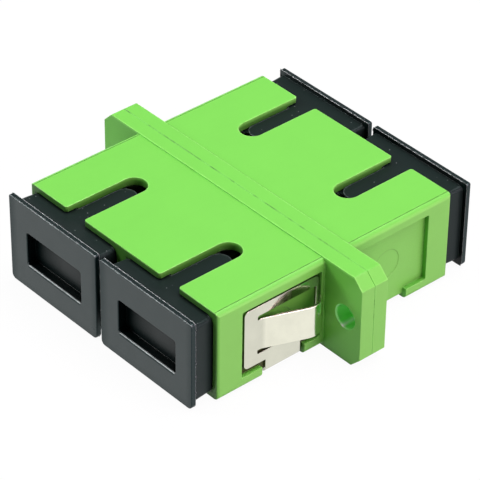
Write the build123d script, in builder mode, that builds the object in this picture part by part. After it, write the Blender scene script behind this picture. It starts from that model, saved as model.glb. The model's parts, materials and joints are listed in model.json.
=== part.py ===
from build123d import *
import math
import os

# Duplex square-port fibre adapter with a screw flange, a snap clip and four dust caps.
# Sizes are in millimetres. X runs across the two ports, Y runs along the fibres and Z is up.
# The origin is under the middle of the welded joint plane, on the surface the flange stands on.

# Housing, which is two identical mouldings welded back to back at the joint plane
port_pitch = 12.7
housing_width = 25.4
housing_height = 9.2
housing_half_length = 13.6
housing_edge_radius = 0.5
mouth_edge_radius = 0.1
mouth_side_radius = 0.35
parting_groove = 0.06

# Flange
flange_width = 34.6
flange_half_thickness = 1.5
flange_proud = 0.12
flange_corner = 1.05
flange_corner_break = 0.15
joint_groove = 0.05
screw_end_distance = 1.95
screw_hole_diameter = 2.3
screw_hole_lead_in = 0.1

# Port, from the joint plane out to the mouth
port_width = 9.1
port_height = 7.5
port_corner_radius = 0.4
mouth_width = 11.4
mouth_height = 8.05
mouth_depth = 1.3
mouth_corner_radius = 0.8
seat_width = 10.6
seat_height = 7.9
seat_depth = 1.5
latch_relief_height = 4.8
latch_relief_overrun = 0.7

# Key slot in the top wall
key_slot_width = 2.44
key_slot_length = 7.9
key_slot_flare = 0.2

# Pockets in the side faces and the channel under the housing that take the snap clip
pocket_length = 9.0
pocket_height = 7.0
pocket_depth = 0.5
pocket_centre = 6.35
pocket_corner_radius = 0.15
strap_channel_depth = 0.3
strap_room_outer = 0.55
strap_room_inner = 0.3
ejector_mark_radius = 1.5
ejector_mark_depth = 0.06

# Split alignment sleeve
ferrule_diameter = 2.5
sleeve_wall = 0.35
sleeve_length = 11.4
sleeve_slot = 0.5
sleeve_edge_break = 0.12

# Latch holder, one in each port end
holder_fit = 0.1
holder_joint_gap = 0.03
holder_tube_wall = 0.6
sleeve_float = 0.1
sleeve_end_float = 0.15
holder_lip = 0.8
holder_lip_room = 0.2
holder_lip_cone = 0.35
holder_tube_chamfer = 0.3
holder_root_radius = 0.4
latch_arm_inside = 3.5
latch_arm_thickness = 0.85
latch_arm_height = 4.0
latch_arm_length = 7.1
latch_hook_reach = 0.65
latch_hook_length = 1.3
latch_hook_land = 0.45
latch_tip_chamfer = 0.3
latch_root_gusset = 0.5

# Dust cap
cap_plate_width = 12.1
cap_plate_height = 9.05
cap_plate_thickness = 0.5
cap_plate_shift = 0.15
cap_plate_top_corner = 0.2
cap_plate_bottom_corner = 0.5
cap_plate_edge = 0.08
cap_stand_off = 2.0
cap_stop_gap = 0.05
cap_mouth_fit = 0.1
cap_port_fit = 0.1
cap_neck_corner = 0.3
cap_neck_draft = 4
cap_wall = 0.8
cap_key_fit = 0.07
cap_tongue_thickness = 0.65
cap_tongue_reach = 6.75
cap_tongue_corner = 1.0
finger_recess_width = 7.6
finger_recess_height = 3.5
finger_recess_depth = 0.85
finger_recess_corner = 0.25
finger_recess_drop = 0.1
finger_recess_draft = 10
finger_recess_edge = 0.1

# Snap clip, one strip of spring sheet
sheet = 0.25
clip_shift = 0.2
clip_plate_length = 8.5
clip_plate_height = 6.15
clip_plate_corner = 0.5
clip_bend_radius = 0.3
clip_strap_width = 4.0
clip_strap_shift = 0.2
clip_window_start = 1.5
clip_window_end = 0.35
clip_window_corner = 0.18
clip_slit_width = 0.4
leaf_width = 3.25
leaf_flat = 0.3
leaf_rise = 1.45
leaf_angle = 21.5
leaf_root_radius = 0.8
leaf_crest_radius = 1.6
leaf_curl = 60

# Places and sizes that several pieces share
axis_height = flange_proud + housing_height / 2
housing_side = housing_width / 2
flange_height = housing_height + 2 * flange_proud
screw_place = flange_width / 2 - screw_end_distance
pocket_floor = housing_side - pocket_depth
strap_ceiling = flange_proud + strap_channel_depth
clip_place = pocket_centre - clip_shift
strap_place = clip_place - clip_strap_shift
sleeve_bore = ferrule_diameter / 2
sleeve_radius = sleeve_bore + sleeve_wall
holder_bore = sleeve_radius + sleeve_float
port_places = {"left": -port_pitch / 2, "right": port_pitch / 2}
end_turns = {"front": 0, "rear": 180}
half_square = 45
touch = 0.001


def port_centres():
    """Both port axes, for a sketch whose plane faces along the fibres."""
    return Locations(*[(x, axis_height) for x in port_places.values()])


def housing_half():
    """One housing moulding, from the joint plane to its mouth at the front."""
    with BuildPart() as half:
        # Rectangular body, and the flange plate round its inner end
        with BuildSketch(Plane.XZ):
            with Locations((0, axis_height)):
                RectangleRounded(housing_width, housing_height, housing_edge_radius)
        extrude(amount=housing_half_length)
        fillet(half.faces().sort_by(Axis.Y)[0].edges(), mouth_edge_radius)
        with BuildSketch(Plane.XZ) as flange:
            with Locations((0, axis_height)):
                Rectangle(flange_width, flange_height)
            chamfer(flange.vertices(), flange_corner)
            fillet(flange.vertices(), flange_corner_break)
        extrude(amount=flange_half_thickness)

        # Softer upright edges beside the mouth
        rounding_y = mouth_side_radius - housing_half_length
        for side in (-1, 1):
            with BuildSketch(Plane.XY):
                with Locations((side * (housing_side - mouth_side_radius), rounding_y)):
                    Rectangle(2 * mouth_side_radius, 2 * mouth_side_radius)
                    Circle(mouth_side_radius, mode=Mode.SUBTRACT)
                    Rectangle(
                        2 * mouth_side_radius,
                        mouth_side_radius,
                        align=(Align.CENTER, Align.MIN),
                        mode=Mode.SUBTRACT,
                    )
                    Rectangle(
                        mouth_side_radius,
                        2 * mouth_side_radius,
                        align=(Align.MAX if side > 0 else Align.MIN, Align.CENTER),
                        mode=Mode.SUBTRACT,
                    )
            extrude(amount=flange_height, mode=Mode.SUBTRACT)

        # Fine groove that the mould's parting line leaves where the top meets its rounded long edges
        roof = flange_proud + housing_height
        with BuildSketch(Plane.XZ.offset(flange_half_thickness)):
            for side in (-1, 1):
                with Locations((side * (housing_side - housing_edge_radius), roof)):
                    Rectangle(parting_groove, parting_groove, rotation=half_square)
        extrude(amount=housing_half_length, mode=Mode.SUBTRACT)

        # Fine groove where the two mouldings meet, along the flange's top and bottom
        joint_edges = half.edges().filter_by(Axis.X).filter_by_position(Axis.Y, -touch, touch)
        chamfer(joint_edges, joint_groove)

        # Screw holes, each with a small cone on the outer face and at the joint plane
        screw_radius = screw_hole_diameter / 2
        for start, radius, depth, slope in (
            (0, screw_radius, flange_half_thickness, 0),
            (0, screw_radius + screw_hole_lead_in, screw_hole_lead_in, half_square),
            (flange_half_thickness, screw_radius + screw_hole_lead_in, -screw_hole_lead_in, half_square),
        ):
            with BuildSketch(Plane.XZ.offset(start)):
                with Locations((-screw_place, axis_height), (screw_place, axis_height)):
                    Circle(radius)
            extrude(amount=depth, taper=slope, mode=Mode.SUBTRACT)

        # Ports, the seats of the latch holders and the room that their arms spread into
        with BuildSketch(Plane.XZ):
            with port_centres():
                RectangleRounded(port_width, port_height, port_corner_radius)
        extrude(amount=housing_half_length, mode=Mode.SUBTRACT)
        with BuildSketch(Plane.XZ):
            with port_centres():
                Rectangle(seat_width, seat_height)
        extrude(amount=seat_depth, mode=Mode.SUBTRACT)
        with BuildSketch(Plane.XZ):
            with port_centres():
                Rectangle(seat_width, latch_relief_height)
        extrude(amount=seat_depth + latch_arm_length + latch_relief_overrun, mode=Mode.SUBTRACT)
        with BuildSketch(Plane.XZ.offset(housing_half_length)):
            with port_centres():
                RectangleRounded(mouth_width, mouth_height, mouth_corner_radius)
        extrude(amount=-mouth_depth, mode=Mode.SUBTRACT)

        # Key slot in the top wall of each port, round at its inner end and flared at the mouth
        slot_half = key_slot_width / 2
        mouth_y = -housing_half_length
        round_y = mouth_y + key_slot_length - slot_half
        flare_y = mouth_y + key_slot_flare
        with BuildSketch(Plane.XY.offset(axis_height)):
            for x in port_places.values():
                with BuildLine():
                    Polyline(
                        (x + slot_half, round_y),
                        (x + slot_half, flare_y),
                        (x + slot_half + key_slot_flare, mouth_y),
                        (x - slot_half - key_slot_flare, mouth_y),
                        (x - slot_half, flare_y),
                        (x - slot_half, round_y),
                    )
                    ThreePointArc(
                        (x - slot_half, round_y), (x, round_y + slot_half), (x + slot_half, round_y)
                    )
                make_face()
        extrude(amount=housing_height, mode=Mode.SUBTRACT)

        # Clip pocket in each side face, with the ejector pin's mark in its floor
        for start in (-housing_side, pocket_floor):
            with BuildSketch(Plane.YZ.offset(start)):
                with Locations((-pocket_centre, axis_height)):
                    RectangleRounded(pocket_length, pocket_height, pocket_corner_radius)
            extrude(amount=pocket_depth, mode=Mode.SUBTRACT)
        for start in (-pocket_floor, pocket_floor - ejector_mark_depth):
            with BuildSketch(Plane.YZ.offset(start)):
                with Locations((-pocket_centre, axis_height)):
                    Circle(ejector_mark_radius)
            extrude(amount=ejector_mark_depth, mode=Mode.SUBTRACT)

        # Notch and channel that carry the clip's strap down one side, underneath and up the other
        channel_start = strap_place - clip_strap_width / 2 - strap_room_inner
        with BuildSketch(Plane.XZ.offset(channel_start)) as saddle:
            with Locations((0, flange_proud)):
                Rectangle(housing_width, housing_height / 2, align=(Align.CENTER, Align.MIN))
            with Locations((0, strap_ceiling)):
                Rectangle(
                    2 * pocket_floor, housing_height, align=(Align.CENTER, Align.MIN), mode=Mode.SUBTRACT
                )
            inner_corners = saddle.vertices().filter_by_position(
                Axis.Y, strap_ceiling - touch, strap_ceiling + touch
            )
            fillet(inner_corners, clip_bend_radius)
        extrude(amount=strap_room_inner + clip_strap_width + strap_room_outer, mode=Mode.SUBTRACT)
    return half.part


def latch_holder():
    """Seat plate with half of the sleeve's tube and two hooked arms, for a port centred on X = 0."""
    plate_back = -holder_joint_gap
    plate_front = -seat_depth
    tube_radius = holder_bore + holder_tube_wall
    sleeve_end = -(sleeve_length / 2 + sleeve_end_float)
    tube_end = sleeve_end - holder_lip
    lip_radius = sleeve_bore + holder_lip_room
    with BuildPart() as holder:
        with BuildSketch(Plane.XZ.offset(holder_joint_gap)):
            with Locations((0, axis_height)):
                Rectangle(seat_width - 2 * holder_fit, seat_height - 2 * holder_fit)
                Circle(holder_bore, mode=Mode.SUBTRACT)
        extrude(amount=seat_depth - holder_joint_gap)

        # Half of the tube, turned about the fibre axis, with a lip that keeps the sleeve in
        with BuildSketch(Plane.XY.offset(axis_height)):
            with BuildLine():
                Polyline(
                    (holder_bore, plate_back),
                    (tube_radius, plate_back),
                    (tube_radius, tube_end + holder_tube_chamfer),
                    (tube_radius - holder_tube_chamfer, tube_end),
                    (lip_radius + holder_lip_cone, tube_end),
                    (lip_radius, tube_end + holder_lip_cone),
                    (lip_radius, sleeve_end),
                    (holder_bore, sleeve_end),
                    close=True,
                )
            make_face()
        revolve(axis=Axis((0, 0, axis_height), (0, 1, 0)))
        tube_root = holder.edges().filter_by(GeomType.CIRCLE).filter_by_position(
            Axis.Y, plate_front - touch, plate_front + touch
        )
        fillet(tube_root, holder_root_radius)

        # One arm, with a gusset at its root, a square latching face and a sloped nose, and its mirror
        arm_end = plate_front - latch_arm_length
        hook_face = arm_end + latch_hook_length
        hook_inside = latch_arm_inside - latch_hook_reach
        arm_outside = latch_arm_inside + latch_arm_thickness
        with BuildSketch(Plane.XY.offset(axis_height - latch_arm_height / 2)):
            with BuildLine():
                Polyline(
                    (latch_arm_inside - latch_root_gusset, plate_front),
                    (latch_arm_inside, plate_front - latch_root_gusset),
                    (latch_arm_inside, hook_face),
                    (hook_inside, hook_face),
                    (hook_inside, hook_face - latch_hook_land),
                    (latch_arm_inside, arm_end),
                    (arm_outside - latch_tip_chamfer, arm_end),
                    (arm_outside, arm_end + latch_tip_chamfer),
                    (arm_outside, plate_front),
                    close=True,
                )
            make_face()
            mirror(about=Plane.YZ)
        extrude(amount=latch_arm_height)
    return holder.part


def alignment_sleeve():
    """Split sleeve that both ferrules are pushed into, for a port centred on X = 0."""
    with BuildPart() as sleeve:
        with BuildSketch(Plane.XZ.offset(-sleeve_length / 2)):
            with Locations((0, axis_height)):
                Circle(sleeve_radius)
                Circle(sleeve_bore, mode=Mode.SUBTRACT)
        extrude(amount=sleeve_length)
        chamfer(sleeve.edges().filter_by(GeomType.CIRCLE), sleeve_edge_break)
        with BuildSketch(Plane.XY.offset(axis_height)):
            Rectangle(sleeve_slot, sleeve_length)
        extrude(amount=2 * sleeve_radius, mode=Mode.SUBTRACT)
    return sleeve.part


def dust_cap():
    """Dust cap seated in the front mouth of a port centred on X = 0."""
    plate_back = housing_half_length + cap_stand_off
    plate_front = plate_back + cap_plate_thickness
    neck_width = mouth_width - 2 * cap_mouth_fit
    neck_height = mouth_height - 2 * cap_mouth_fit
    neck_start = housing_half_length + cap_stop_gap
    neck_end = housing_half_length - mouth_depth + cap_port_fit
    tongue_end = housing_half_length - cap_tongue_reach
    tongue_width = port_width - 2 * port_corner_radius
    insert_height = port_height - 2 * cap_port_fit
    hollow_height = insert_height - 2 * cap_tongue_thickness
    hollow_width = neck_width - 2 * cap_wall
    hollow_start = plate_front - finger_recess_depth - cap_wall
    key_width = key_slot_width - 2 * cap_key_fit
    key_floor = axis_height + hollow_height / 2
    with BuildPart() as cap:
        # Front plate, a little to the left of the port, with tight corners above and softer ones below
        with BuildSketch(Plane.XZ.offset(plate_back)) as plate:
            with Locations((-cap_plate_shift, axis_height)):
                Rectangle(cap_plate_width, cap_plate_height)
            fillet(plate.vertices().group_by(Axis.Y)[-1], cap_plate_top_corner)
            fillet(plate.vertices().group_by(Axis.Y)[0], cap_plate_bottom_corner)
        extrude(amount=cap_plate_thickness)
        fillet(cap.faces().sort_by(Axis.Y)[0].edges(), cap_plate_edge)

        # Neck that widens towards the plate, and the part of it that fills the mouth
        with BuildSketch(Plane.XZ.offset(neck_start)):
            with Locations((0, axis_height)):
                RectangleRounded(neck_width, neck_height, cap_neck_corner)
        extrude(amount=plate_back - neck_start, taper=-cap_neck_draft)
        with BuildSketch(Plane.XZ.offset(neck_end)):
            with Locations((0, axis_height)):
                RectangleRounded(neck_width, neck_height, mouth_corner_radius - cap_mouth_fit)
        extrude(amount=neck_start - neck_end)
        with BuildSketch(Plane.XZ.offset(neck_end)):
            with Locations((0, axis_height)):
                RectangleRounded(hollow_width, hollow_height, port_corner_radius)
        extrude(amount=hollow_start - neck_end, mode=Mode.SUBTRACT)

        # Two tongues that slide along the roof and floor of the port, over and under the latch arms
        for tongue_floor in (axis_height - insert_height / 2, key_floor):
            with BuildSketch(Plane.XY.offset(tongue_floor)) as tongue:
                with Locations((0, -tongue_end)):
                    Rectangle(tongue_width, neck_end - tongue_end, align=(Align.CENTER, Align.MAX))
                fillet(tongue.vertices().group_by(Axis.Y)[-1], cap_tongue_corner)
            extrude(amount=cap_tongue_thickness)

        # Key along the top, round at its inner end, that runs in the housing's key slot
        key_round = tongue_end + key_width / 2
        with BuildSketch(Plane.XY.offset(key_floor)):
            with Locations((0, -key_round)):
                Circle(key_width / 2)
                Rectangle(key_width, plate_back - key_round, align=(Align.CENTER, Align.MAX))
        extrude(amount=(neck_height - hollow_height) / 2)

        # Finger recess in the front, narrowing towards its floor, with a rounded rim
        recess_height = axis_height - finger_recess_drop
        with BuildSketch(Plane.XZ.offset(plate_front)):
            with Locations((0, recess_height)):
                RectangleRounded(finger_recess_width, finger_recess_height, finger_recess_corner)
        extrude(amount=-finger_recess_depth, taper=finger_recess_draft, mode=Mode.SUBTRACT)
        reach_x = finger_recess_width / 2 + touch
        reach_z = finger_recess_height / 2 + touch
        rim = cap.edges().filter_by_position(Axis.Y, -plate_front - touch, -plate_front + touch)
        rim = rim.filter_by_position(Axis.X, -reach_x, reach_x)
        rim = rim.filter_by_position(Axis.Z, recess_height - reach_z, recess_height + reach_z)
        fillet(rim, finger_recess_edge)
    return cap.part


def leaf_straight():
    """Length of the leaf's straight stretch, from its rise less what its two bends rise."""
    rise = pocket_depth + leaf_rise - sheet
    lean = math.radians(leaf_angle)
    return (rise - (leaf_root_radius + leaf_crest_radius) * (1 - math.cos(lean))) / math.sin(lean)


def snap_clip():
    """Sheet bent round the underside of the front half, with a spring leaf cut free in each side."""
    plate_front = -clip_place - clip_plate_length / 2
    window_front = plate_front + clip_window_start
    window_length = clip_plate_length - clip_window_start - clip_window_end
    with BuildPart() as clip:
        # Sheet bent into a U that is as wide as the side plates
        with BuildSketch(Plane.XZ.offset(-plate_front - clip_plate_length)):
            with BuildLine():
                FilletPolyline(
                    (-pocket_floor, axis_height + clip_plate_height / 2),
                    (-pocket_floor, strap_ceiling),
                    (pocket_floor, strap_ceiling),
                    (pocket_floor, axis_height + clip_plate_height / 2),
                    radius=clip_bend_radius,
                )
                offset(amount=sheet, side=Side.RIGHT)
            make_face()
        extrude(amount=clip_plate_length)

        # Blanked outline seen from the side: the plate, the narrower strap and the window
        with BuildSketch(Plane.YZ) as outline:
            with Locations((-clip_place, axis_height)):
                RectangleRounded(clip_plate_length, clip_plate_height, clip_plate_corner)
            with Locations((-strap_place, axis_height)):
                Rectangle(clip_strap_width, housing_height, align=(Align.CENTER, Align.MAX))
            with Locations((window_front + window_length / 2, axis_height)):
                RectangleRounded(
                    window_length, leaf_width + 2 * clip_slit_width, clip_window_corner, mode=Mode.SUBTRACT
                )
        extrude(amount=housing_width, both=True, mode=Mode.INTERSECT)

        # Spring leaf: flat at its root, bent outwards, straight, then curled back at its crest
        with BuildSketch(Plane.XY.offset(axis_height - leaf_width / 2)):
            with BuildLine():
                root = Line((pocket_floor, window_front - sheet), (pocket_floor, window_front + leaf_flat))
                bend = JernArc(root @ 1, root % 1, leaf_root_radius, -leaf_angle)
                rise = PolarLine(bend @ 1, leaf_straight(), direction=bend % 1)
                JernArc(rise @ 1, rise % 1, leaf_crest_radius, leaf_angle + leaf_curl)
                offset(amount=sheet, side=Side.RIGHT)
            make_face()
            mirror(about=Plane.YZ)
        extrude(amount=leaf_width)
    return clip.part


def save(piece, name):
    """Name a finished piece and write it out."""
    piece.label = name
    export_step(piece, f"parts/{name}.step")


os.makedirs("parts", exist_ok=True)

for end, turn in end_turns.items():
    with BuildPart() as housing:
        add(housing_half(), rotation=(0, 0, turn))
    save(housing.part, f"housing_{end}")

with BuildPart() as panel_clip:
    add(snap_clip())
save(panel_clip.part, "panel_clip")

for place, x in port_places.items():
    with BuildPart() as sleeve:
        with Locations((x, 0)):
            add(alignment_sleeve())
    save(sleeve.part, f"alignment_sleeve_{place}")
    for end, turn in end_turns.items():
        with BuildPart() as holder:
            with Locations((x, 0)):
                add(latch_holder(), rotation=(0, 0, turn))
        save(holder.part, f"latch_holder_{place}_{end}")
        with BuildPart() as cap:
            with Locations((x, 0)):
                add(dust_cap(), rotation=(0, 0, turn))
        save(cap.part, f"dust_cap_{place}_{end}")
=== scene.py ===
import json
import math

import bmesh
import bpy
import numpy as np
from bpy.props import FloatProperty, FloatVectorProperty, PointerProperty
from mathutils import Matrix, Vector

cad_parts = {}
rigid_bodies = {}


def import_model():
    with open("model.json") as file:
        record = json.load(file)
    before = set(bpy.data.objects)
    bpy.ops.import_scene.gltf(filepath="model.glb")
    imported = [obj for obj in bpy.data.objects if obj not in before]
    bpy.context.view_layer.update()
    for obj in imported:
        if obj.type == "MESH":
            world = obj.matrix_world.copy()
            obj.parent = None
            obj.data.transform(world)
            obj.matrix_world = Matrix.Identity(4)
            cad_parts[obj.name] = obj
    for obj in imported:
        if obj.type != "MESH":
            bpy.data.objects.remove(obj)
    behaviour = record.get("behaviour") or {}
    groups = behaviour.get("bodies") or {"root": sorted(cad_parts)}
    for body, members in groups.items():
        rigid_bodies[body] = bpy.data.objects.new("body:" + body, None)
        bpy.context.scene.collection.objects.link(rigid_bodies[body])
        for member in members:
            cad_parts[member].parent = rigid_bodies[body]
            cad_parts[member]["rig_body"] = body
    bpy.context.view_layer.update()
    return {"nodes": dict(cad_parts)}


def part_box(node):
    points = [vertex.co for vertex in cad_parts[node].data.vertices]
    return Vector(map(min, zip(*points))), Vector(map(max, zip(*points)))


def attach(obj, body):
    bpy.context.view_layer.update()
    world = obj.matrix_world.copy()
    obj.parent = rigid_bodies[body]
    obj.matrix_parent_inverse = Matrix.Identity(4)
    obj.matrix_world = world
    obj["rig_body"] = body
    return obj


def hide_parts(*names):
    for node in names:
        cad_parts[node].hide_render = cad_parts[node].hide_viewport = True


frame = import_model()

bl_info = {
    "name": "Fibre adapter dressing",
    "version": (1, 0),
    "blender": (4, 5, 0),
    "location": "3D View > Sidebar > Adapter",
    "description": "Finishes of a duplex fibre adapter, its dust caps and its panel clip",
    "category": "Object",
}

MM = 0.001
ENDS = ("front", "rear")
PORTS = ("left", "right")
HOUSINGS = [f"housing_{end}" for end in ENDS]
CAPS = [f"dust_cap_{port}_{end}" for port in PORTS for end in ENDS]
HOLDERS = [f"latch_holder_{port}_{end}" for port in PORTS for end in ENDS]
SLEEVES = [f"alignment_sleeve_{port}" for port in PORTS]

# Places that the CAD gives, in millimetres
AXIS_HEIGHT = 4.72  # axes of the ports and the screw holes
TOP_PLACE = 9.32  # top face of the housing
GROOVE_PLACE = 12.2  # parting grooves beside the top face
GROOVE_BOTTOM = 9.2  # the grooves lie above this
PORT_PLACE = 6.35  # middle of each port
MOUTH_PLACE = 13.45  # end faces of the housing begin past this
FLANGE_HALF = 1.5  # half the flange's thickness
POCKET_EDGE = 12.4  # the clip's pockets are sunk within this
SCREW_PLACE = 15.35  # middle of each screw hole
BORE_REACH = 1.3  # a hole's wall lies within this of its axis
CONE_REACH = 1.35  # and its cones' inner edges within this
PLATE_BACK = 15.6  # back face of a cap's plate
PLATE_THICKNESS = 0.5
PLATE_TOP_CORNER = 0.2  # radii of the plate's corners
PLATE_BOTTOM_CORNER = 0.5
RECESS_FLOOR = 15.25  # floor of the finger recess
RECESS_HALF_LENGTH = 3.9  # the recess's faces lie within these of its middle
RECESS_HALF_HEIGHT = 1.95
RIM_HEIGHT = 2.87  # lower rim of the recess
RIM_BACK = 15.96  # the rim's edge lies past this

# Tones that the settings leave alone
# Pale edge tone of the housing: scuffs and a painted highlight
EDGE_SCUFF_AND_HIGHLIGHT_GREEN = (0.45, 0.95, 0.27)
# Brighter green of the screw holes' walls, painted light
BORE_LIGHT_GREEN = (0.3, 0.96, 0.24)
SEAM_GREEN = (0.04, 0.24, 0.015)
# Lighter green of the flange's front step, painted light
FOOT_STEP_LIT_GREEN = (0.26, 0.77, 0.13)
# Dark green of the clip's pocket floors, painted shade
POCKET_SHADE_GREEN = (0.07, 0.09, 0.02)
GLINT_WHITE = (1.0, 1.0, 1.0)
# Pale edge tones of the caps' plates and necks: scuffs and a painted highlight
EDGE_SCUFF_AND_HIGHLIGHT_PLATE = (0.75, 0.8, 0.8)
EDGE_SCUFF_AND_HIGHLIGHT_NECK = (0.2, 0.24, 0.24)
# Pale line on the recess's lower rim, a painted highlight
RIM_HIGHLIGHT_GREY = (0.85, 0.9, 0.9)
GLOSS_TINT = (0.3, 0.95, 1.0)
NECK_TINT = (0.84, 0.98, 1.0)
# Pale tones of the flash, a painted highlight, brighter on the front caps
FLASH_HIGHLIGHT_TONES = {"front": (0.5, 0.55, 0.55), "rear": (0.16, 0.18, 0.18)}
DUST = (2.2, 0.15, 0.75, (0.32, 0.36, 0.36))  # cells per millimetre, size, share left bare, tone

# Mesh clean-up
MERGE_DISTANCE = 0.0005 * MM
FLAT_ANGLE = math.radians(0.3)
SHARP_ANGLE = math.radians(35)
CORNER_STOPS = 7  # points on each rounded corner of a plate's outline


# Settings

class StudioSettings(bpy.types.PropertyGroup):
    """The camera, the floor and the soft lights."""

    camera_place: FloatVectorProperty(
        name="Camera place", description="Where the camera stands", subtype="TRANSLATION",
        default=(150.93 * MM, -133.86 * MM, 151.09 * MM))
    camera_target: FloatVectorProperty(
        name="Camera target", description="The point the camera looks at", subtype="TRANSLATION",
        default=(16.649 * MM, -14.775 * MM, 19.876 * MM))
    camera_roll: FloatProperty(
        name="Camera roll", description="Turn about the line of sight", subtype="ANGLE",
        default=math.radians(0.728))
    focal_length: FloatProperty(
        name="Focal length", description="Lens on a 36 mm wide sensor, in millimetres", unit="CAMERA",
        default=209.86)
    key_power: FloatProperty(
        name="Overhead light", description="Power of the overhead softbox", subtype="POWER", default=0.69)
    side_power: FloatProperty(
        name="Side light", description="Power of the softbox on the right", subtype="POWER", default=0.69)
    fill_power: FloatProperty(
        name="Fill light", description="Power of the small fill in front on the left", subtype="POWER",
        default=0.4)
    ambient: FloatProperty(
        name="Ambient", description="Strength of the room's even light", default=0.09)
    sky_high: FloatProperty(
        name="Upper room", description="How bright the upper room is in reflections", default=0.09)


class HousingSettings(bpy.types.PropertyGroup):
    """The green moulded plastic of the two housing halves."""

    green: FloatVectorProperty(
        name="Green", description="Colour of the moulded plastic", subtype="COLOR",
        default=(0.195, 0.66, 0.088))
    # Paler green that paints the sheen of the side faces
    side_sheen_green: FloatVectorProperty(
        name="Side green", description="Colour of the side faces, painted paler for their sheen", subtype="COLOR",
        default=(0.25, 0.70, 0.122))
    roughness: FloatProperty(
        name="Roughness", description="Satin of the moulded skin", subtype="FACTOR", min=0.0, max=1.0,
        default=0.42)
    edge_round: FloatProperty(
        name="Edge rounding", description="Radius that the tool leaves on every edge", subtype="DISTANCE",
        default=0.05 * MM)


class CapSettings(bpy.types.PropertyGroup):
    """The charcoal plastic of the dust caps."""

    charcoal: FloatVectorProperty(
        name="Charcoal", description="Colour of the cap plastic", subtype="COLOR",
        default=(0.005, 0.013, 0.013))
    neck: FloatVectorProperty(
        name="Neck", description="Colour of the smoother plastic behind the plate", subtype="COLOR",
        default=(0.012, 0.021, 0.019))
    roughness: FloatProperty(
        name="Roughness", description="Satin of the cap plastic", subtype="FACTOR", min=0.0, max=1.0,
        default=0.34)
    edge_round: FloatProperty(
        name="Edge rounding", description="Radius on the edges of the caps", subtype="DISTANCE",
        default=0.04 * MM)
    flash_height: FloatProperty(
        name="Flash", description="Height of the ragged flash round the back edge of a plate",
        subtype="DISTANCE", default=0.1 * MM)


class ClipSettings(bpy.types.PropertyGroup):
    """The rolled spring steel of the panel clip."""

    steel: FloatVectorProperty(
        name="Steel", description="Colour of the rolled steel", subtype="COLOR",
        default=(0.69, 0.69, 0.575))
    # The leaves' brighter colour is a painted highlight on the same steel as the plates
    leaf: FloatVectorProperty(
        name="Leaf", description="Colour of the brighter spring leaves", subtype="COLOR",
        default=(0.835, 0.83, 0.69))
    roughness: FloatProperty(
        name="Roughness", description="Polish of the rolled face", subtype="FACTOR", min=0.0, max=1.0,
        default=0.15)
    edge_round: FloatProperty(
        name="Edge rounding", description="Rounding of the tumbled edges", subtype="DISTANCE",
        default=0.04 * MM)


# Node helpers

def group(name, inputs, outputs):
    """A new shader node group with the given sockets; returns the group, its input and its output node."""
    tree = bpy.data.node_groups.new(name, "ShaderNodeTree")
    for label, kind, default in inputs:
        socket = tree.interface.new_socket(name=label, in_out="INPUT", socket_type=kind)
        if default is not None:
            socket.default_value = default
    for label, kind in outputs:
        tree.interface.new_socket(name=label, in_out="OUTPUT", socket_type=kind)
    return tree, tree.nodes.new("NodeGroupInput"), tree.nodes.new("NodeGroupOutput")


def node(tree, kind, settings=None, **links):
    """A node with its settings, and its inputs linked to sockets or set to values by name or index."""
    made = tree.nodes.new(kind)
    for name, value in (settings or {}).items():
        setattr(made, name, value)
    for label, source in links.items():
        target = made.inputs[int(label[1:])] if label[0] == "i" and label[1:].isdigit() else \
            made.inputs[label.replace("_", " ")]
        if isinstance(source, bpy.types.NodeSocket):
            tree.links.new(source, target)
        else:
            target.default_value = source
    return made


def maths(tree, operation, a, b=0.0):
    """The output of one Math node."""
    return node(tree, "ShaderNodeMath", {"operation": operation}, i0=a, i1=b).outputs[0]


def product(tree, first, *others):
    """The sockets or numbers multiplied together."""
    for other in others:
        first = maths(tree, "MULTIPLY", first, other)
    return first


def separated(tree, vector):
    """The three parts of a vector, by axis."""
    return node(tree, "ShaderNodeSeparateXYZ", Vector=vector).outputs


def object_mm(tree):
    """Object coordinates in millimetres, which stay with the piece when it moves."""
    place = node(tree, "ShaderNodeTexCoord").outputs["Object"]
    return node(tree, "ShaderNodeVectorMath", {"operation": "SCALE"}, i0=place, Scale=1 / MM).outputs[0]


def stretched(tree, vector, scale):
    """The vector with each axis scaled by its own factor."""
    return node(tree, "ShaderNodeVectorMath", {"operation": "MULTIPLY"}, i0=vector, i1=scale).outputs[0]


def noise(tree, vector, scale, detail=3.0, rough=0.55):
    """Even noise about 0.5, with features about 1 / scale millimetres across."""
    made = node(tree, "ShaderNodeTexNoise", Vector=vector, Scale=scale, Detail=detail, Roughness=rough)
    return made.outputs[0]


def ramp(tree, value, low, high, out_low=0.0, out_high=1.0):
    """The value mapped from low..high to out_low..out_high and kept inside it."""
    made = node(tree, "ShaderNodeMapRange", i0=value, i1=low, i2=high, i3=out_low, i4=out_high)
    return made.outputs[0]


def mixed(tree, mask, below, above):
    """The colour output of a mix between two colours."""
    return node(tree, "ShaderNodeMix", {"data_type": "RGBA"}, Factor=mask, i6=below, i7=above).outputs[2]


def openness(tree, reach, inside, local=False):
    """How much of the space within reach of the surface is open, or of the solid when inside is set."""
    settings = {"samples": 3, "inside": inside, "only_local": inside or local}
    return node(tree, "ShaderNodeAmbientOcclusion", settings, Distance=reach).outputs["AO"]


def facing_up(tree):
    """The upward part of the surface's own direction."""
    return separated(tree, node(tree, "ShaderNodeNewGeometry").outputs["Normal"])["Z"]


# Shared effects

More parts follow.
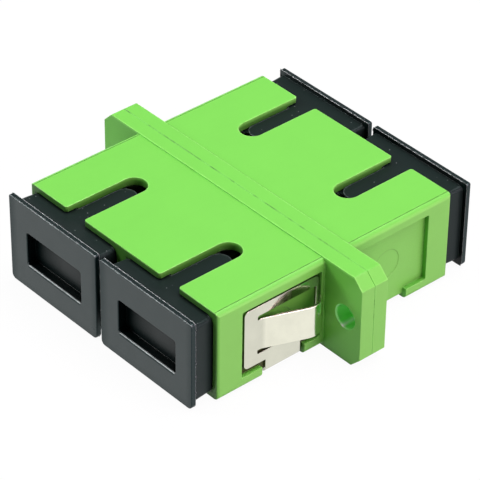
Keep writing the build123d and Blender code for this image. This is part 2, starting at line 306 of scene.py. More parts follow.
def moulded_skin():
    """Colour that drifts, takes painted shade in crevices and hollows, and pales on outer edges for scuffs
    and a painted highlight, over a spark-cut mould's grain.
    """
    tree, taken, given = group(
        "moulded_skin",
        [("Colour", "NodeSocketColor", (0.5, 0.5, 0.5, 1)), ("Drift", "NodeSocketFloat", 0.06),
         ("Roughness", "NodeSocketFloat", 0.4), ("Roughness Spread", "NodeSocketFloat", 0.06),
         ("Grain Scale", "NodeSocketFloat", 9.0), ("Edge Reach", "NodeSocketFloat", 0.14 * MM),
         ("Edge Colour", "NodeSocketColor", (0.5, 0.5, 0.5, 1)), ("Edge Wear", "NodeSocketFloat", 0.5),
         ("Upright Wear", "NodeSocketFloat", 0.25), ("Crevice", "NodeSocketFloat", 0.85),
         ("Hollow", "NodeSocketFloat", 0.35)],
        [("Colour", "NodeSocketColor"), ("Roughness", "NodeSocketFloat"), ("Height", "NodeSocketFloat"),
         ("Shade", "NodeSocketFloat")])
    place = object_mm(tree)
    cloud = noise(tree, place, 0.22, 4.0)
    flow = noise(tree, stretched(tree, place, (1.2, 0.16, 1.2)), 1.0, 3.0)
    drift = maths(tree, "ADD", maths(tree, "SUBTRACT", cloud, 0.5),
                  maths(tree, "MULTIPLY", maths(tree, "SUBTRACT", flow, 0.5), 0.4))

    # Outer edges, paled for scuffs and a painted highlight that grows where they face up: rays sent inside
    # the piece end early there. The joint in the plane Y = 0 is left out, and the outer edges of the rear
    # caps' plates are paled less
    along = separated(tree, place)["Y"]
    off_seam = ramp(tree, maths(tree, "ABSOLUTE", along), 0.08, 0.15)
    within = openness(tree, taken.outputs["Edge Reach"], inside=True)
    edge = maths(tree, "MULTIPLY", ramp(tree, within, 0.88, 0.68), off_seam)
    upward = ramp(tree, facing_up(tree), 0.0, 0.6, taken.outputs["Upright Wear"], 1.0)
    patch = ramp(tree, noise(tree, place, 2.2, 3.0), 0.36, 0.6, 0.4, 1.0)
    rear_plate_share = ramp(tree, along, PLATE_BACK + 0.15, PLATE_BACK + 0.3, 1.0, 0.3)
    scuffed_and_lit_edges = product(tree, edge, upward, patch, rear_plate_share, taken.outputs["Edge Wear"])

    # Painted shade: darker colour in the crevices between pieces and in the wider hollows of the piece itself
    close = ramp(tree, openness(tree, 0.7 * MM, inside=False), 0.72, 0.2)
    wide = ramp(tree, openness(tree, 4.0 * MM, inside=False, local=True), 0.86, 0.42)
    shade = maths(tree, "MAXIMUM", maths(tree, "MULTIPLY", close, taken.outputs["Crevice"]),
                  maths(tree, "MULTIPLY", wide, taken.outputs["Hollow"]))
    shade = maths(tree, "MULTIPLY", shade, ramp(tree, off_seam, 0.0, 1.0, 0.35, 1.0))
    value = maths(tree, "ADD", 1.0, maths(tree, "MULTIPLY", drift, taken.outputs["Drift"]))
    value = maths(tree, "MULTIPLY", value, maths(tree, "SUBTRACT", 1.0, shade))
    tone = node(tree, "ShaderNodeHueSaturation", Color=taken.outputs["Colour"], Value=value,
                Saturation=ramp(tree, shade, 0.0, 0.6, 1.0, 1.08))

    grain = noise(tree, place, taken.outputs["Grain Scale"], 4.0, 0.6)
    rub = maths(tree, "MULTIPLY", maths(tree, "SUBTRACT", noise(tree, place, 0.7, 5.0), 0.5),
                taken.outputs["Roughness Spread"])
    polish = ramp(tree, edge, 0.0, 1.0, 1.0, 0.55)
    dull = maths(tree, "MULTIPLY", maths(tree, "ADD", taken.outputs["Roughness"], rub), polish)
    tree.links.new(mixed(tree, scuffed_and_lit_edges, tone.outputs[0], taken.outputs["Edge Colour"]), given.inputs["Colour"])
    tree.links.new(dull, given.inputs["Roughness"])
    tree.links.new(grain, given.inputs["Height"])
    tree.links.new(shade, given.inputs["Shade"])
    return tree


def fine_specks():
    """A mask of small round specks of dust: many on what faces up, very few on the upright faces."""
    tree, taken, given = group(
        "fine_specks",
        [("Scale", "NodeSocketFloat", 2.0), ("Size", "NodeSocketFloat", 0.08),
         ("Share", "NodeSocketFloat", 0.6)],
        [("Mask", "NodeSocketFloat")])
    place = object_mm(tree)
    cells = node(tree, "ShaderNodeTexVoronoi", Vector=place, Scale=taken.outputs["Scale"])
    near = ramp(tree, cells.outputs["Distance"], taken.outputs["Size"], 0.0)
    chance = node(tree, "ShaderNodeSeparateColor", Color=cells.outputs["Color"]).outputs[0]
    needed = maths(tree, "ADD", taken.outputs["Share"], ramp(tree, facing_up(tree), 0.5, 0.2, 0.0, 0.25))
    picked = maths(tree, "GREATER_THAN", chance, needed)
    tree.links.new(maths(tree, "MULTIPLY", near, picked), given.inputs["Mask"])
    return tree


def joint_marks():
    """Masks along the joint of the two mouldings, in the plane Y = 0: dark ticks, and a painted highlight on
    its lips.
    """
    tree, taken, given = group(
        "joint_marks", [("Reach", "NodeSocketFloat", 0.1), ("Share", "NodeSocketFloat", 0.6)],
        [("Mask", "NodeSocketFloat"), ("Pale", "NodeSocketFloat")])
    place = object_mm(tree)
    away = maths(tree, "ABSOLUTE", separated(tree, place)["Y"])
    close = ramp(tree, away, taken.outputs["Reach"], 0.02)
    ticks = noise(tree, stretched(tree, place, (0.6, 0.4, 1.0)), 1.1, 4.0)
    needed = maths(tree, "SUBTRACT", taken.outputs["Share"], ramp(tree, facing_up(tree), 0.6, 0.9, 0.0, 0.12))
    picked = ramp(tree, maths(tree, "SUBTRACT", ticks, needed), -0.04, 0.1)
    tree.links.new(product(tree, close, picked), given.inputs["Mask"])
    tree.links.new(ramp(tree, away, 0.1, 0.05, 0.0, 0.5), given.inputs["Pale"])
    return tree


def parting_line():
    """A mask of the mould's parting line, where the top face meets its rounded long edges."""
    tree, taken, given = group(
        "parting_line",
        [("Place", "NodeSocketFloat", GROOVE_PLACE), ("Half Width", "NodeSocketFloat", 0.055)],
        [("Mask", "NodeSocketFloat")])
    place = object_mm(tree)
    axes = separated(tree, place)
    offset = maths(tree, "SUBTRACT", maths(tree, "ABSOLUTE", axes["X"]), taken.outputs["Place"])
    line = ramp(tree, maths(tree, "ABSOLUTE", offset), taken.outputs["Half Width"], 0.02)
    above = maths(tree, "GREATER_THAN", axes["Z"], GROOVE_BOTTOM)
    beside = maths(tree, "GREATER_THAN", maths(tree, "ABSOLUTE", axes["Y"]), FLANGE_HALF)
    broken = ramp(tree, noise(tree, place, 1.3, 2.0), 0.3, 0.5, 0.5, 1.0)
    tree.links.new(product(tree, line, above, beside, broken), given.inputs["Mask"])
    return tree


def face_ways():
    """Masks for painted light and shade: the faces that look left or right, painted paler for their sheen,
    and the housing's end faces and the clip's pocket floors, which take painted shade, darker lower down.
    """
    tree, taken, given = group(
        "face_ways", [("Start", "NodeSocketFloat", 0.6), ("End", "NodeSocketFloat", 0.9)],
        [("Side", "NodeSocketFloat"), ("Mouth", "NodeSocketFloat"), ("Pocket", "NodeSocketFloat")])
    normal = separated(tree, node(tree, "ShaderNodeNewGeometry").outputs["Normal"])
    sideways, endways = (
        ramp(tree, maths(tree, "ABSOLUTE", normal[label]), taken.outputs["Start"], taken.outputs["End"])
        for label in ("X", "Y"))
    axes = separated(tree, object_mm(tree))
    outer = maths(tree, "GREATER_THAN", maths(tree, "ABSOLUTE", axes["Y"]), MOUTH_PLACE)
    in_front = maths(tree, "LESS_THAN", axes["Y"], 0.0)
    sunk = product(tree, in_front, maths(tree, "LESS_THAN", maths(tree, "ABSOLUTE", axes["X"]), POCKET_EDGE))
    lower = ramp(tree, axes["Z"], 3.9, 3.4, 0.35, 1.0)
    tree.links.new(product(tree, sideways, maths(tree, "SUBTRACT", 1.0, sunk)), given.inputs["Side"])
    tree.links.new(product(tree, sideways, sunk, lower), given.inputs["Pocket"])
    tree.links.new(product(tree, endways, outer), given.inputs["Mouth"])
    return tree


def key_slots():
    """A mask of the walls of the key slots in the top, which see little light."""
    tree, taken, given = group(
        "key_slots", [("Half Width", "NodeSocketFloat", 1.7), ("Top", "NodeSocketFloat", TOP_PLACE - 0.1)],
        [("Mask", "NodeSocketFloat")])
    axes = separated(tree, object_mm(tree))
    across = maths(tree, "SUBTRACT", maths(tree, "ABSOLUTE", axes["X"]), PORT_PLACE)
    within = maths(tree, "LESS_THAN", maths(tree, "ABSOLUTE", across), taken.outputs["Half Width"])
    below = ramp(tree, axes["Z"], taken.outputs["Top"], maths(tree, "SUBTRACT", taken.outputs["Top"], 0.3))
    above = maths(tree, "GREATER_THAN", axes["Z"], TOP_PLACE - 1.5)
    tree.links.new(product(tree, within, below, above), given.inputs["Mask"])
    return tree


def flange_foot():
    """Masks where the flange stands above the housing's top: its front step, which is painted lighter, and a
    line beside the rear.
    """
    tree, taken, given = group(
        "flange_foot", [("Place", "NodeSocketFloat", FLANGE_HALF), ("Reach", "NodeSocketFloat", 0.055)],
        [("Front", "NodeSocketFloat"), ("Rear", "NodeSocketFloat")])
    place = object_mm(tree)
    axes = separated(tree, place)
    above = maths(tree, "GREATER_THAN", axes["Z"], TOP_PLACE - 0.06)
    broken = ramp(tree, noise(tree, place, 0.9, 3.0), 0.3, 0.6, 0.5, 1.0)
    for label, way, offset in (("Front", -1.0, 0.0), ("Rear", 1.0, 0.05)):
        step = maths(tree, "SUBTRACT", maths(tree, "MULTIPLY", axes["Y"], way), taken.outputs["Place"])
        away = maths(tree, "ABSOLUTE", maths(tree, "SUBTRACT", step, offset))
        near = maths(tree, "LESS_THAN", away, taken.outputs["Reach"])
        tree.links.new(product(tree, near, above, broken), given.inputs[label])
    return tree


def recess_rim():
    """Masks on a cap's plate: the painted highlight on the recess's lower rim, the painted shade of a dark
    line under it, the darker border of the plate, and the painted shade (dusk) on the left of the recess's
    floor.
    """
    tree, taken, given = group(
        "recess_rim",
        [("Rim Height", "NodeSocketFloat", RIM_HEIGHT), ("Half Length", "NodeSocketFloat", 3.7)],
        [("Rim Highlight", "NodeSocketFloat"), ("Line", "NodeSocketFloat"), ("Border", "NodeSocketFloat"),
         ("Dusk", "NodeSocketFloat")])
    place = object_mm(tree)
    axes = separated(tree, place)
    across = maths(tree, "ABSOLUTE", maths(tree, "SUBTRACT", maths(tree, "ABSOLUTE", axes["X"]), PORT_PLACE))
    within = ramp(tree, across, taken.outputs["Half Length"],
                  maths(tree, "SUBTRACT", taken.outputs["Half Length"], 0.15))
    outer = maths(tree, "GREATER_THAN", maths(tree, "ABSOLUTE", axes["Y"]), RIM_BACK)
    above = maths(tree, "SUBTRACT", axes["Z"], taken.outputs["Rim Height"])
    broken = ramp(tree, noise(tree, place, 1.4, 3.0), 0.3, 0.6, 0.35, 1.0)
    for label, centre, reach, strength in (("Rim Highlight", -0.02, 0.05, broken), ("Line", -0.16, 0.09, 1.0)):
        away = maths(tree, "ABSOLUTE", maths(tree, "SUBTRACT", above, centre))
        band = ramp(tree, away, reach, reach - 0.03)
        tree.links.new(product(tree, band, within, outer, strength), given.inputs[label])
    sides = ramp(tree, across, 5.1, 5.9, 0.0, 0.5)
    foot = ramp(tree, axes["Z"], 1.0, 0.1, 0.0, 0.3)
    tree.links.new(maths(tree, "MAXIMUM", sides, foot), given.inputs["Border"])
    middle = maths(tree, "MULTIPLY", maths(tree, "SIGN", axes["X"]), PORT_PLACE)
    rightward = maths(tree, "SUBTRACT", axes["X"], middle)
    tree.links.new(ramp(tree, rightward, -3.4, 0.4, 0.9, 0.0), given.inputs["Dusk"])
    return tree


def bore_glint():
    """A mask of the streak of light that runs along the lower wall of each screw hole."""
    tree, taken, given = group(
        "bore_glint", [("Place", "NodeSocketFloat", -0.35), ("Half Width", "NodeSocketFloat", 0.3)],
        [("Mask", "NodeSocketFloat")])
    axes = separated(tree, object_mm(tree))
    across = maths(tree, "SUBTRACT", maths(tree, "ABSOLUTE", axes["X"]), SCREW_PLACE)
    offset = maths(tree, "ABSOLUTE", maths(tree, "SUBTRACT", across, taken.outputs["Place"]))
    streak = ramp(tree, offset, taken.outputs["Half Width"], 0.0)
    low = maths(tree, "LESS_THAN", axes["Z"], AXIS_HEIGHT)
    tree.links.new(product(tree, streak, low), given.inputs["Mask"])
    return tree


def raised_leaf():
    """A mask of the clip's two spring leaves: 1 where the sheet stands further out than its side plates."""
    tree, taken, given = group(
        "raised_leaf", [("Start", "NodeSocketFloat", 12.47), ("End", "NodeSocketFloat", 12.6)],
        [("Mask", "NodeSocketFloat")])
    reach = maths(tree, "ABSOLUTE", separated(tree, object_mm(tree))["X"])
    tree.links.new(ramp(tree, reach, taken.outputs["Start"], taken.outputs["End"]), given.inputs["Mask"])
    return tree


def rolled_face():
    """Rolled strip: long fine lines as a height, cloudy roughness, a faint stain and the shade of gaps."""
    tree, taken, given = group(
        "rolled_face",
        [("Lines", "NodeSocketFloat", 14.0), ("Roughness", "NodeSocketFloat", 0.3),
         ("Spread", "NodeSocketFloat", 0.12)],
        [("Height", "NodeSocketFloat"), ("Roughness", "NodeSocketFloat"), ("Stain", "NodeSocketFloat"),
         ("Shade", "NodeSocketFloat")])
    place = object_mm(tree)
    lines = noise(tree, stretched(tree, place, (0.5, 1.0, 0.05)), taken.outputs["Lines"], 3.0, 0.7)
    dull = noise(tree, place, 0.6, 4.0)
    spread = maths(tree, "MULTIPLY", maths(tree, "SUBTRACT", dull, 0.5), taken.outputs["Spread"])
    tree.links.new(lines, given.inputs["Height"])
    tree.links.new(maths(tree, "ADD", taken.outputs["Roughness"], spread), given.inputs["Roughness"])
    tree.links.new(ramp(tree, dull, 0.35, 0.75), given.inputs["Stain"])
    tree.links.new(ramp(tree, openness(tree, 0.6 * MM, inside=False), 0.75, 0.25), given.inputs["Shade"])
    return tree


def effect(tree, name, maker, **values):
    """The outputs of a shared group placed in a material with its own values; it is built on first use."""
    shared = bpy.data.node_groups.get(name) or maker()
    return node(tree, "ShaderNodeGroup", {"node_tree": shared}, **values).outputs


def new_material(name):
    """An empty node material with its Principled shader wired to the output."""
    material = bpy.data.materials.new(name)
    material.use_nodes = True
    tree = material.node_tree
    tree.nodes.clear()
    shader = tree.nodes.new("ShaderNodeBsdfPrincipled")
    output = tree.nodes.new("ShaderNodeOutputMaterial")
    tree.links.new(shader.outputs[0], output.inputs["Surface"])
    return material, tree, shader


def bump(tree, height, strength, depth):
    """The normal of a bump that is depth metres high."""
    return node(tree, "ShaderNodeBump", Height=height, Strength=strength, Distance=depth).outputs[0]


def painted(tree, colour, mask, tone):
    """The colour with a plain tone laid over it where the mask is 1."""
    return mixed(tree, mask, colour, (*tone, 1.0))


def housing_base(tree, colour, sides):
    """The housing's colour: side faces painted paler for their sheen, and painted shade on the pocket floors,
    end faces and slot walls.
    """
    ways = effect(tree, "face_ways", face_ways)
    # Side faces painted paler, a painted sheen
    base = painted(tree, (*colour, 1.0), ways["Side"], sides)
    # Painted shade on the clip's pocket floors, darker lower down
    base = painted(tree, base, ways["Pocket"], POCKET_SHADE_GREEN)
    slots = maths(tree, "MULTIPLY", effect(tree, "key_slots", key_slots)["Mask"], 0.8)
    # Painted shade: the end faces and the key slots' walls take a darker copy of the green
    return painted(tree, base, maths(tree, "MAXIMUM", ways["Mouth"], slots), [0.35 * part for part in colour])


def joint_finish(tree, colour, lip_tone):
    """The colour with the marks of the welded joint and the painted highlight on its lips, the flange's front
    step painted lighter, a dark line beside the flange's rear, and the parting lines.
    """
    marks = effect(tree, "joint_marks", joint_marks)
    lips = maths(tree, "MULTIPLY", marks["Pale"], effect(tree, "face_ways", face_ways)["Side"])
    foot = effect(tree, "flange_foot", flange_foot)
    lines = effect(tree, "parting_line", parting_line)["Mask"]
    # Painted highlight on the joint's lips
    colour = painted(tree, colour, lips, lip_tone)
    # Painted light on the flange's front step
    colour = painted(tree, colour, foot["Front"], FOOT_STEP_LIT_GREEN)
    for mask in (foot["Rear"], marks["Mask"], lines):
        colour = painted(tree, colour, mask, SEAM_GREEN)
    return colour


def moulded_material(name, colour, roughness, drift, grain_depth, edge_colour, wear, tint=(1.0, 1.0, 1.0),
                     level=0.5, coat=0.0, spread=0.06, upright=0.25, crevice=0.85, hollow=0.35, reach=0.14,
                     sides=None, dusty=False, rim=False, dusk=False, glint=False):
    """Moulded plastic: the shared skin, and the marks of one kind of piece where they are asked for.

    sides is the tone of the housing's side faces, painted paler for their sheen, and adds the joint's marks;
    dusty adds specks, rim the painted highlight on a cap's recess rim, the painted shade of the line under it
    and the plate's darker border, dusk the painted shade on the recess's floor, and glint the painted
    highlight streak in a screw hole. The coat fades in the painted shade.
    """
    material, tree, shader = new_material(name)
    skin = effect(tree, "moulded_skin", moulded_skin, Roughness=roughness, Drift=drift,
                  Colour=housing_base(tree, colour, sides) if sides else (*colour, 1.0),
                  Edge_Colour=(*edge_colour, 1.0), Edge_Wear=wear, Roughness_Spread=spread,
                  Upright_Wear=upright, Crevice=crevice, Hollow=hollow, Edge_Reach=reach * MM)
    shown, shade = skin["Colour"], skin["Shade"]
    if dusty:
        scale, size, share, tone = DUST
        mask = effect(tree, "fine_specks", fine_specks, Scale=scale, Size=size, Share=share)["Mask"]
        shown = painted(tree, shown, mask, tone)
    if sides:
        shown = joint_finish(tree, shown, edge_colour)
    if rim:
        edge = effect(tree, "recess_rim", recess_rim)
        # Painted highlight on the recess's lower rim
        shown = painted(tree, shown, edge["Rim Highlight"], RIM_HIGHLIGHT_GREY)
        # Painted shade through the coat: the line under the rim, the plate's darker border, and the dusk on
        # the recess's floor
        for label in ("Line", "Border", "Dusk") if dusk else ("Line", "Border"):
            shade = maths(tree, "MAXIMUM", shade, edge[label])
    if glint:
        shown = painted(tree, shown, effect(tree, "bore_glint", bore_glint)["Mask"], GLINT_WHITE)
    tree.links.new(shown, shader.inputs["Base Color"])
    tree.links.new(skin["Roughness"], shader.inputs["Roughness"])
    tree.links.new(bump(tree, skin["Height"], 1.0, grain_depth), shader.inputs["Normal"])
    shader.inputs["Specular Tint"].default_value = (*tint, 1.0)
    shader.inputs["Specular IOR Level"].default_value = level
    if coat:
        tree.links.new(ramp(tree, shade, 0.0, 1.0, coat, 0.0), shader.inputs["Coat Weight"])
        shader.inputs["Coat Roughness"].default_value = roughness
    return material


def steel_material(name, plate, leaf, roughness):
    """Rolled spring steel: metal with long lines, cloudy roughness, a faint stain and leaves painted brighter
    as a highlight.
    """
    material, tree, shader = new_material(name)
    face = effect(tree, "rolled_face", rolled_face, Roughness=roughness)
    # Painted highlight: the raised leaves take the brighter colour
    bright = painted(tree, (*plate, 1.0), effect(tree, "raised_leaf", raised_leaf)["Mask"], leaf)
    value = product(tree, ramp(tree, face["Stain"], 0.0, 1.0, 1.0, 0.93),
                    ramp(tree, face["Shade"], 0.0, 1.0, 1.0, 0.08))
    tone = node(tree, "ShaderNodeHueSaturation", Color=bright, Value=value)
    tree.links.new(tone.outputs[0], shader.inputs["Base Color"])
    tree.links.new(face["Roughness"], shader.inputs["Roughness"])
    tree.links.new(bump(tree, face["Height"], 0.5, 0.004 * MM), shader.inputs["Normal"])
    shader.inputs["Metallic"].default_value = 1.0
    return material


# Mesh helpers

def rounded_copy(name, materials, radius, fine=None, finish=None):
    """Puts a finished copy in a CAD node's place, with flat faces joined and sharp edges rounded.

    fine and finish take a place in millimetres: edges where fine is true stay sharp, and finish picks a
    face's material by the face's middle.
    """
    source = frame["nodes"][name]
    mesh = source.data.copy()
    mesh.name = f"{name}_dressed"
    mesh.materials.clear()
    for material in materials:
        mesh.materials.append(material)
    work = bmesh.new()
    work.from_mesh(mesh)
    bmesh.ops.remove_doubles(work, verts=work.verts, dist=MERGE_DISTANCE)
    bmesh.ops.dissolve_limit(work, angle_limit=FLAT_ANGLE, verts=work.verts, edges=work.edges)
    for face in work.faces:
        face.smooth = True
        if finish:
            face.material_index = int(finish(*(face.calc_center_median() / MM)))
    weight = work.edges.layers.float.new("bevel_weight_edge")
    for edge in work.edges:
        if len(edge.link_faces) == 2 and edge.calc_face_angle() > SHARP_ANGLE:
            edge.smooth = False
            if not fine or not any(fine(*(corner.co / MM)) for corner in edge.verts):
                edge[weight] = 1.0
                edge.smooth = True
    work.to_mesh(mesh)
    work.free()
    piece = bpy.data.objects.new(f"{name}_dressed", mesh)
    bpy.context.scene.collection.objects.link(piece)
    rounding = piece.modifiers.new("edge_round", "BEVEL")
    rounding.width = radius
    rounding.segments = 2
    rounding.limit_method = "WEIGHT"
    rounding.use_clamp_overlap = False
    rounding.miter_outer = "MITER_ARC"
    shade = piece.modifiers.new("weighted_normals", "WEIGHTED_NORMAL")
    shade.keep_sharp = True
    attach(piece, source["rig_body"])
    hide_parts(name)


def plate_path(low_x, high_x, low_z, high_z, count):
    """Distances, points and outward directions round a plate with its own radii at the top and the bottom.

    Each corner is C + r (cos a, sin a) over a quarter turn of a, with straight sides between them, and count
    points are spaced evenly along the whole outline.
    """
    corners = ((high_x, high_z, PLATE_TOP_CORNER, 0.0), (low_x, high_z, PLATE_TOP_CORNER, 0.5),
               (low_x, low_z, PLATE_BOTTOM_CORNER, 1.0), (high_x, low_z, PLATE_BOTTOM_CORNER, 1.5))
    middle = np.array(((low_x + high_x) / 2, (low_z + high_z) / 2))
    stops = []
    for x, z, radius, start in corners:
        corner = np.array((x, z))
        angle = math.pi * (start + np.linspace(0.0, 0.5, CORNER_STOPS))
        away = np.stack((np.cos(angle), np.sin(angle)), axis=1)
        centre = corner - radius * np.sign(corner - middle)
        stops.append(np.concatenate((centre + radius * away, away), axis=1))
    stops = np.concatenate(stops + [stops[0][:1]])
    length = np.concatenate(((0.0,), np.cumsum(np.linalg.norm(np.diff(stops[:, :2], axis=0), axis=1))))
    where = np.linspace(0.0, length[-1], count, endpoint=False)
    around = np.stack([np.interp(where, length, stops[:, column]) for column in range(4)], axis=1)
    return where, around[:, :2], around[:, 2:]


def plate_flash(name, material, height):
    """Ragged flash round the back edge of a cap's plate.

    The surface is S(t, u) = P(t) + N(t) (h(t) (1 - |2u - 1|) - d |2u - 1|) + Y w u, where P runs round the
    plate's back edge, N points outwards, w is the root's width and d is how far the root is sunk. The height
    h(t) = h0 (sum over n of sin(p_n (t + phase)) / n, divided by the full wave and kept in 0..1)^3 gives
    tufts with bare stretches between them.
    """
    low, high = (np.array(corner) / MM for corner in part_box(name))
    end = -1.0 if low[1] < 0 else 1.0
    back = (low[1] if end < 0 else high[1]) - end * PLATE_THICKNESS
    count, width, sunk = 720, 0.05, 0.02
    pitches, full_wave = (3.7, 8.3, 17.9, 31.0), 1.4
    phase = 1.7 * CAPS.index(name)
    where, ring, away = plate_path(low[0], high[0], low[2], high[2], count)
    waves = sum(np.sin(pitch * (where + phase)) / rank for rank, pitch in enumerate(pitches, start=1))
    tuft = height * np.clip(waves / full_wave, 0.0, 1.0) ** 3
    rows = []
    for u in (0.0, 0.5, 1.0):
        lean = abs(2 * u - 1)
        flat = ring + away * (tuft * (1 - lean) - sunk * lean)[:, None]
        along = np.full(count, back + end * width * u)
        rows.append(np.stack((flat[:, 0], along, flat[:, 1]), axis=1))
    points = np.concatenate(rows) * MM
    step = np.arange(count)
    after = (step + 1) % count
    faces = [np.stack((step + base, after + base, after + base + count, step + base + count), axis=1)
             for base in (0, count)]
    mesh = bpy.data.meshes.new(f"{name}_flash")
    mesh.from_pydata(points.tolist(), [], np.concatenate(faces).tolist())
    mesh.materials.append(material)
    piece = bpy.data.objects.new(f"{name}_flash", mesh)
    bpy.context.scene.collection.objects.link(piece)
    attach(piece, frame["nodes"][name]["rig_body"])


def cap_finish(x, y, z):
    """The finish of a cap's face here: 2 in the finger recess, 1 behind the plate, 0 on the plate itself."""
    beside = abs(abs(x) - PORT_PLACE) < RECESS_HALF_LENGTH and abs(z - AXIS_HEIGHT) < RECESS_HALF_HEIGHT
    if beside and RECESS_FLOOR - 0.001 < abs(y) < RIM_BACK + 0.01:
        return 2
    return int(abs(y) < PLATE_BACK - 0.001)


def in_screw_hole(x, y, z):
    """True on the walls of the screw holes, which polished pins leave smoother."""
    return math.hypot(abs(x) - SCREW_PLACE, z - AXIS_HEIGHT) < BORE_REACH and abs(y) < FLANGE_HALF - 0.01


def housing_fine(x, y, z):
    """True on the parting grooves, the joint groove and the cones of the screw holes."""
    groove = abs(abs(x) - GROOVE_PLACE) < 0.08 and z > GROOVE_BOTTOM
    joint = abs(y) < 0.06
    cone = math.hypot(abs(x) - SCREW_PLACE, z - AXIS_HEIGHT) < CONE_REACH
    return groove or joint or cone


# Operators

class ADAPTER_OT_stage(bpy.types.Operator):
    """Camera, white floor, white room and three soft lights."""

    bl_idname = "adapter.stage"
    bl_label = "Stage"

    def execute(self, context):
        studio = context.scene.adapter_studio
        self.camera(context, studio)
        self.room(context, studio)
        self.floor(context)
        lights = (  # name, place, size, power, colour
            ("overhead", (0.02, 0.06, 0.28), 0.2, studio.key_power, (1.0, 1.0, 1.0)),
            ("right", (0.28, 0.06, 0.14), 0.2, studio.side_power, (1.0, 0.7, 0.87)),
            ("front_left", (-0.20, -0.17, 0.18), 0.1, studio.fill_power, (1.0, 1.0, 1.0)),
        )
        for name, place, size, power, colour in lights:
            data = bpy.data.lights.new(name, "AREA")
            data.size = size
            data.energy = power
            data.color = colour
            lamp = bpy.data.objects.new(name, data)
            context.scene.collection.objects.link(lamp)
            lamp.location = place
            lamp.rotation_mode = "QUATERNION"
            lamp.rotation_quaternion = (-Vector(place)).to_track_quat("-Z", "Y")
        context.scene.view_settings.view_transform = "Standard"
        return {"FINISHED"}

    def camera(self, context, studio):
        """Camera that looks from its place to the target, level and then rolled about the line of sight."""
        place, target = Vector(studio.camera_place), Vector(studio.camera_target)
        forward = (target - place).normalized()
        level = forward.cross(Vector((0, 0, 1))).normalized()
        upright = level.cross(forward)
        turn = studio.camera_roll
        right = level * math.cos(turn) + upright * math.sin(turn)
        up = upright * math.cos(turn) - level * math.sin(turn)
        data = bpy.data.cameras.new("camera")
        data.lens = studio.focal_length
        data.sensor_width = 36.0
        data.clip_start, data.clip_end = 0.01, 10.0
        seen = bpy.data.objects.new("camera", data)
        context.scene.collection.objects.link(seen)
        axes = Matrix((right, up, -forward)).transposed().to_4x4()
        seen.matrix_world = Matrix.Translation(place) @ axes
        context.scene.camera = seen

    def room(self, context, studio):
        """White past the floor for the camera, even weak light for shading, a dimmer upper room in gloss."""
        world = bpy.data.worlds.new("room")
        context.scene.world = world
        world.use_nodes = True
        tree = world.node_tree
        tree.nodes.clear()
        path = node(tree, "ShaderNodeLightPath").outputs
        height = separated(tree, node(tree, "ShaderNodeTexCoord").outputs["Generated"])["Z"]
        upper = ramp(tree, height, 0.2, 0.55, 1.0, studio.sky_high)
        mirrored = maths(tree, "MAXIMUM", path["Is Glossy Ray"], path["Is Transmission Ray"])
        strength = maths(tree, "MULTIPLY", mirrored, upper)
        strength = maths(tree, "MAXIMUM", strength, studio.ambient)
        strength = maths(tree, "MAXIMUM", strength, path["Is Camera Ray"])
        background = node(tree, "ShaderNodeBackground", Color=(1, 1, 1, 1), Strength=strength)
        output = tree.nodes.new("ShaderNodeOutputWorld")
        tree.links.new(background.outputs[0], output.inputs["Surface"])

    def floor(self, context):
        """A wide flat sheet just under the part: mostly white glow to the eye, the rest takes the shadow."""
        half, drop = 1.5, 0.02 * MM
        glow_strength, glow_share = 1.06, 0.9
        corners = [(x * half, y * half, -drop) for x, y in ((-1, -1), (1, -1), (1, 1), (-1, 1))]
        mesh = bpy.data.meshes.new("floor")
        mesh.from_pydata(corners, [], [(0, 1, 2, 3)])
        sheet = bpy.data.objects.new("floor", mesh)
        context.scene.collection.objects.link(sheet)
        material, tree, shader = new_material("floor_white")
        shader.inputs["Base Color"].default_value = (0.45, 0.45, 0.45, 1)
        shader.inputs["Roughness"].default_value = 0.9
        shader.inputs["Specular IOR Level"].default_value = 0.1
        path = node(tree, "ShaderNodeLightPath").outputs
        seen = maths(tree, "MAXIMUM", path["Is Camera Ray"],
                     maths(tree, "MAXIMUM", path["Is Glossy Ray"], path["Is Transmission Ray"]))
        glow = node(tree, "ShaderNodeEmission", Color=(1, 1, 1, 1), Strength=glow_strength)
        share = maths(tree, "MULTIPLY", seen, glow_share)
        mix = node(tree, "ShaderNodeMixShader", Fac=share, i1=shader.outputs[0], i2=glow.outputs[0])
        output = next(n for n in tree.nodes if n.type == "OUTPUT_MATERIAL")
        tree.links.new(mix.outputs[0], output.inputs["Surface"])
        mesh.materials.append(material)


class ADAPTER_OT_housing(bpy.types.Operator):
    """Both housing halves: green moulded plastic with softly rounded edges."""

    bl_idname = "adapter.housing"
    bl_label = "Housing"

    def execute(self, context):
        wanted = context.scene.adapter_housing
        plastic = moulded_material("housing_green", wanted.green, wanted.roughness, 0.07, 0.004 * MM,
                                   EDGE_SCUFF_AND_HIGHLIGHT_GREEN, 0.75, level=0.3, hollow=0.5, sides=wanted.side_sheen_green)
        # Painted light: the screw holes' walls take a brighter green, with a painted highlight streak
        bore = moulded_material("housing_bore", BORE_LIGHT_GREEN, 0.16, 0.07, 0.001 * MM, EDGE_SCUFF_AND_HIGHLIGHT_GREEN, 0.3,
                                crevice=0.0, hollow=0.0, glint=True)
        for name in HOUSINGS:
            rounded_copy(name, [plastic, bore], wanted.edge_round, fine=housing_fine,
                         finish=in_screw_hole)
        return {"FINISHED"}


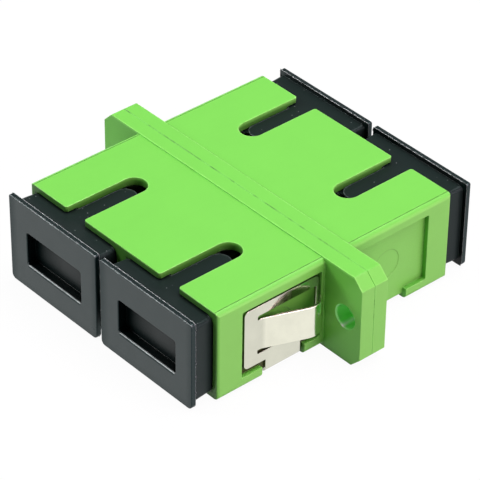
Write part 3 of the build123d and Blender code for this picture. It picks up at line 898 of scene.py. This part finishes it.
class ADAPTER_OT_caps(bpy.types.Operator):
    """The four dust caps: charcoal plastic with dust specks, and ragged flash round their plates."""

    bl_idname = "adapter.caps"
    bl_label = "Dust caps"

    def execute(self, context):
        wanted = context.scene.adapter_caps
        plate = moulded_material("cap_plate", wanted.charcoal, wanted.roughness, 0.25, 0.006 * MM,
                                 EDGE_SCUFF_AND_HIGHLIGHT_PLATE, 1.0, GLOSS_TINT, level=0.15, coat=0.6, spread=0.3,
                                 upright=0.02, hollow=1.0, reach=0.1, dusty=True, rim=True)
        neck = moulded_material("cap_neck", wanted.neck, wanted.roughness, 0.25, 0.004 * MM,
                                EDGE_SCUFF_AND_HIGHLIGHT_NECK, 0.6, NECK_TINT, level=0.16, upright=0.1, dusty=True)
        # The recess's own copy of the plate material: no base gloss and painted shade (dusk) on its floor, to
        # paint the recess darker
        recess = moulded_material("cap_recess", wanted.charcoal, wanted.roughness, 0.25, 0.006 * MM,
                                  EDGE_SCUFF_AND_HIGHLIGHT_PLATE, 0.5, level=0.0, coat=0.75, spread=0.16,
                                  upright=0.02, hollow=1.0, reach=0.1, dusty=True, rim=True, dusk=True)
        # The flash's pale tones are a painted highlight
        trims = {end: moulded_material(f"cap_flash_{end}", tone, 0.3, 0.4, 0.004 * MM, tone, 0.0)
                 for end, tone in FLASH_HIGHLIGHT_TONES.items()}
        for name in CAPS:
            rounded_copy(name, [plate, neck, recess], wanted.edge_round, finish=cap_finish)
            plate_flash(name, trims[name.split("_")[-1]], wanted.flash_height / MM)
        return {"FINISHED"}


class ADAPTER_OT_inner(bpy.types.Operator):
    """Latch holders in natural plastic and the ground ceramic sleeves."""

    bl_idname = "adapter.inner"
    bl_label = "Latch holders and sleeves"

    def execute(self, context):
        plastic = moulded_material("holder_natural", (0.80, 0.78, 0.70), 0.45, 0.05, 0.004 * MM,
                                   (0.88, 0.87, 0.80), 0.4)
        ceramic = moulded_material("sleeve_zirconia", (0.90, 0.90, 0.87), 0.15, 0.03, 0.001 * MM,
                                   (0.95, 0.95, 0.93), 0.3)
        for name in HOLDERS:
            rounded_copy(name, [plastic], 0.04 * MM)
        for name in SLEEVES:
            rounded_copy(name, [ceramic], 0.02 * MM)
        return {"FINISHED"}


class ADAPTER_OT_clip(bpy.types.Operator):
    """The panel clip: one strip of rolled spring steel."""

    bl_idname = "adapter.clip"
    bl_label = "Panel clip"

    def execute(self, context):
        wanted = context.scene.adapter_clip
        steel = steel_material("clip_steel", wanted.steel, wanted.leaf, wanted.roughness)
        rounded_copy("panel_clip", [steel], wanted.edge_round)
        return {"FINISHED"}


# Panel and registration

class ADAPTER_PT_panel(bpy.types.Panel):
    """Lists the settings and the steps in the order that they run."""

    bl_idname = "ADAPTER_PT_panel"
    bl_label = "Fibre adapter"
    bl_space_type = "VIEW_3D"
    bl_region_type = "UI"
    bl_category = "Adapter"

    def draw(self, context):
        for label, owner in SETTINGS.items():
            box = self.layout.box()
            settings = getattr(context.scene, label)
            for prop in owner.__annotations__:
                box.prop(settings, prop)
        for step in STEPS:
            self.layout.operator(step.bl_idname)


SETTINGS = {
    "adapter_studio": StudioSettings,
    "adapter_housing": HousingSettings,
    "adapter_caps": CapSettings,
    "adapter_clip": ClipSettings,
}
STEPS = (ADAPTER_OT_stage, ADAPTER_OT_housing, ADAPTER_OT_caps, ADAPTER_OT_inner, ADAPTER_OT_clip)


def register():
    """Registers the classes and gives the scene its settings."""
    for owner in (*SETTINGS.values(), *STEPS, ADAPTER_PT_panel):
        bpy.utils.register_class(owner)
    for label, owner in SETTINGS.items():
        setattr(bpy.types.Scene, label, PointerProperty(type=owner))


def unregister():
    """Takes the settings and the classes away again."""
    for label in SETTINGS:
        delattr(bpy.types.Scene, label)
    for owner in (ADAPTER_PT_panel, *reversed(STEPS), *SETTINGS.values()):
        bpy.utils.unregister_class(owner)


def main():
    register()
    for step in STEPS:
        area, name = step.bl_idname.split(".")
        getattr(getattr(bpy.ops, area), name)()


if __name__ == "__main__":
    main()
